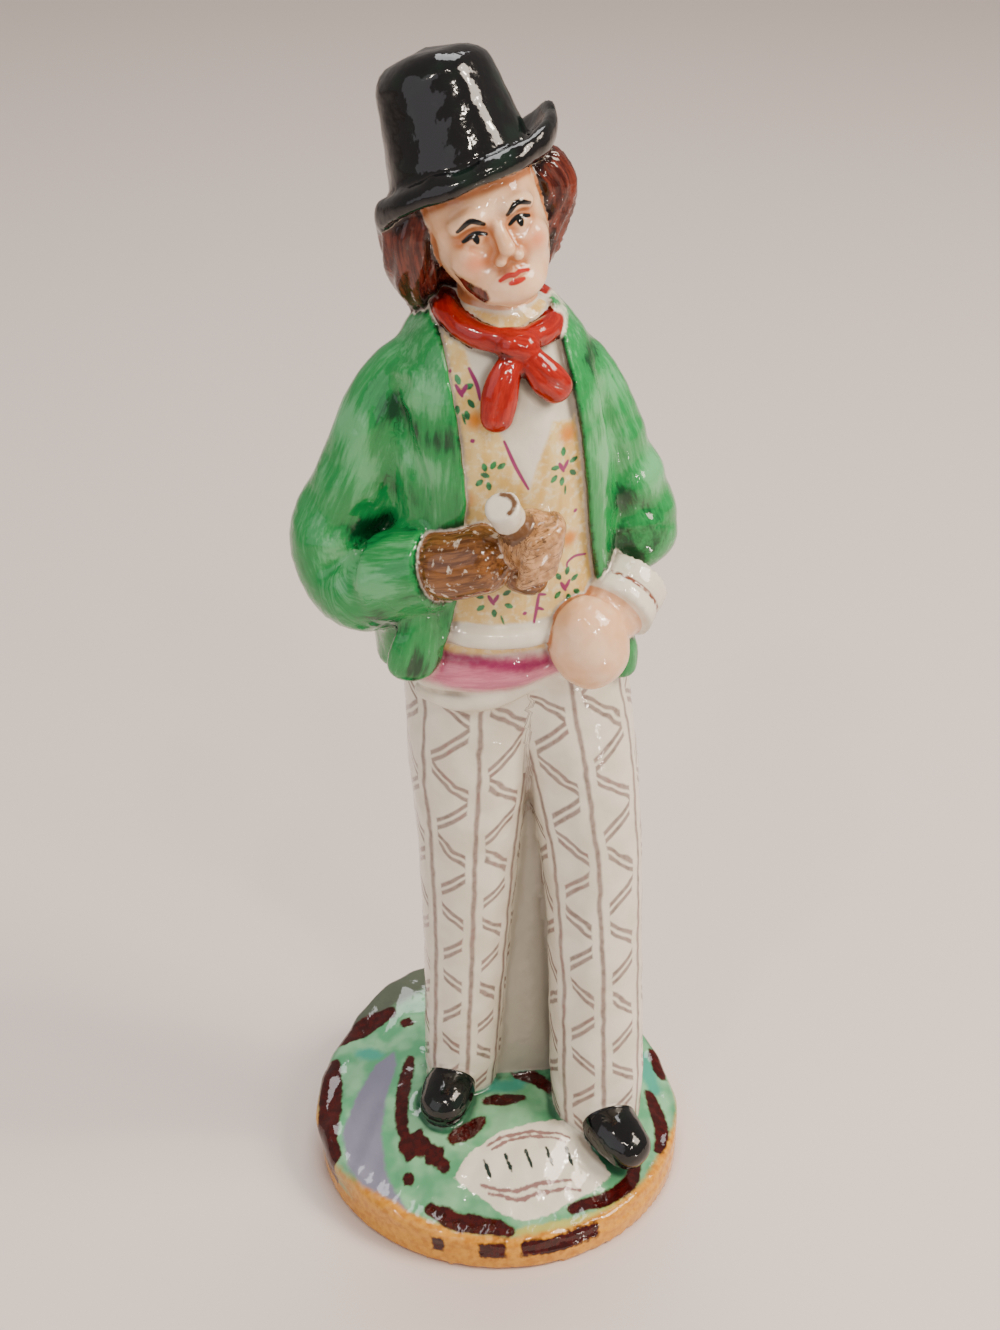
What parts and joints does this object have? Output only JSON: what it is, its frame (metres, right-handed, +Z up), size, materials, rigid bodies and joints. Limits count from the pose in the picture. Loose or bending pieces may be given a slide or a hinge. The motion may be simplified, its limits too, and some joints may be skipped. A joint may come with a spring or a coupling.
{
  "type": "figurine",
  "caption": "Glazed and painted earthenware figure of a standing man in a top hat, open jacket and striped trousers, moulded in one with a round grassy mound base.",
  "frame": {"origin": "middle of the flat underside of the round base", "axes": "+Z up; the man faces -Y; +X is to the right of a viewer who stands in front of him"},
  "size_m": [0.0729, 0.0713, 0.22],
  "materials": {
    "glazed_earthenware": "clear glossy lead glaze over painted earthenware, with enamel colours and a black hat and shoes"
  },
  "bodies": {
    "root": {"figure": "glazed_earthenware"}
  },
  "joints": []
}
